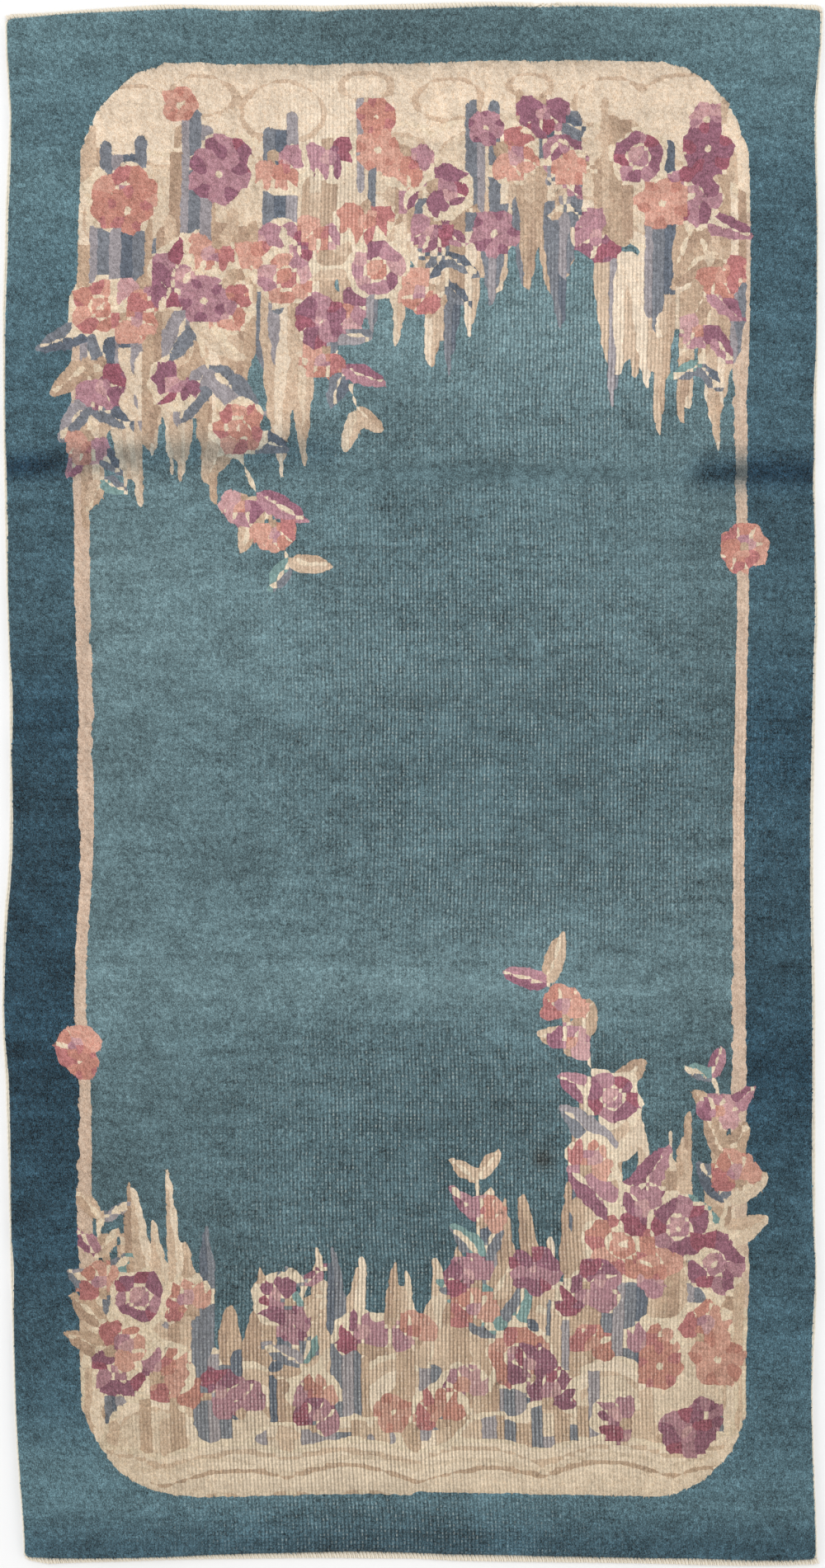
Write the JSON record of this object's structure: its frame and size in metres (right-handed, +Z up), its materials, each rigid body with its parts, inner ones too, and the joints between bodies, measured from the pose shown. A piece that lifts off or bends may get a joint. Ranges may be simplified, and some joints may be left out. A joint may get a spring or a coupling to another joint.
{
  "type": "rug",
  "caption": "Rectangular hand-knotted wool pile rug, blue-green ground with flower sprays in opposite corners, a plain rounded frame line, overcast sides and bound ends, worn in use.",
  "frame": {"origin": "on the floor, under the middle of the rug's bounding box", "axes": "+X towards the right-hand side and +Y along the warps towards the top end, as the design is seen upright; +Z up, out of the pile"},
  "size_m": [0.9278, 1.767, 0.0105],
  "materials": {
    "pile_wool": "matt cut wool pile",
    "edge_cotton": "matt overcast yarn"
  },
  "bodies": {
    "root": {"rug_body": "pile_wool", "selvedge_left": "edge_cotton", "selvedge_right": "edge_cotton", "end_binding_bottom": "edge_cotton", "end_binding_top": "edge_cotton"}
  },
  "joints": []
}
